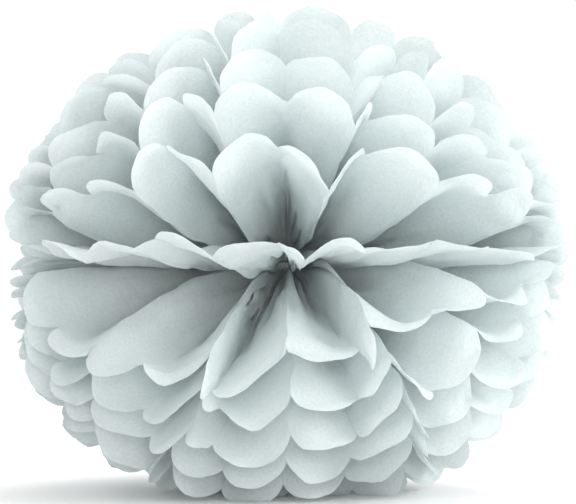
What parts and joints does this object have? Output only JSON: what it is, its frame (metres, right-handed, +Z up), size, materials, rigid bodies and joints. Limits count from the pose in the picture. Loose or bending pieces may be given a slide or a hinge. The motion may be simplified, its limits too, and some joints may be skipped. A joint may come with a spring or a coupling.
{
  "type": "tissue paper pom pom",
  "caption": "Fluffy ball of pleated tissue paper sheets, tied at the middle with soft wire and fanned out into petals.",
  "frame": {"origin": "on the ground, below the middle of the ball's bounding box", "axes": "+X along the pleat axis, the ball's widest way, +Z up, and -Y towards the pole where the first sheet opens"},
  "size_m": [0.2562, 0.2389, 0.2249],
  "materials": {
    "tissue_paper": "matte, thin and slightly see-through, with fine crinkles",
    "soft_wire": "dull galvanised"
  },
  "bodies": {
    "root": {"tissue_sheet_01": "tissue_paper", "tissue_sheet_02": "tissue_paper", "tissue_sheet_03": "tissue_paper", "tissue_sheet_04": "tissue_paper", "tissue_sheet_05": "tissue_paper", "tissue_sheet_06": "tissue_paper", "tissue_sheet_07": "tissue_paper", "tissue_sheet_08": "tissue_paper", "tissue_sheet_09": "tissue_paper", "tissue_sheet_10": "tissue_paper", "tissue_sheet_11": "tissue_paper", "tissue_sheet_12": "tissue_paper", "tie_wire": "soft_wire"}
  },
  "joints": []
}
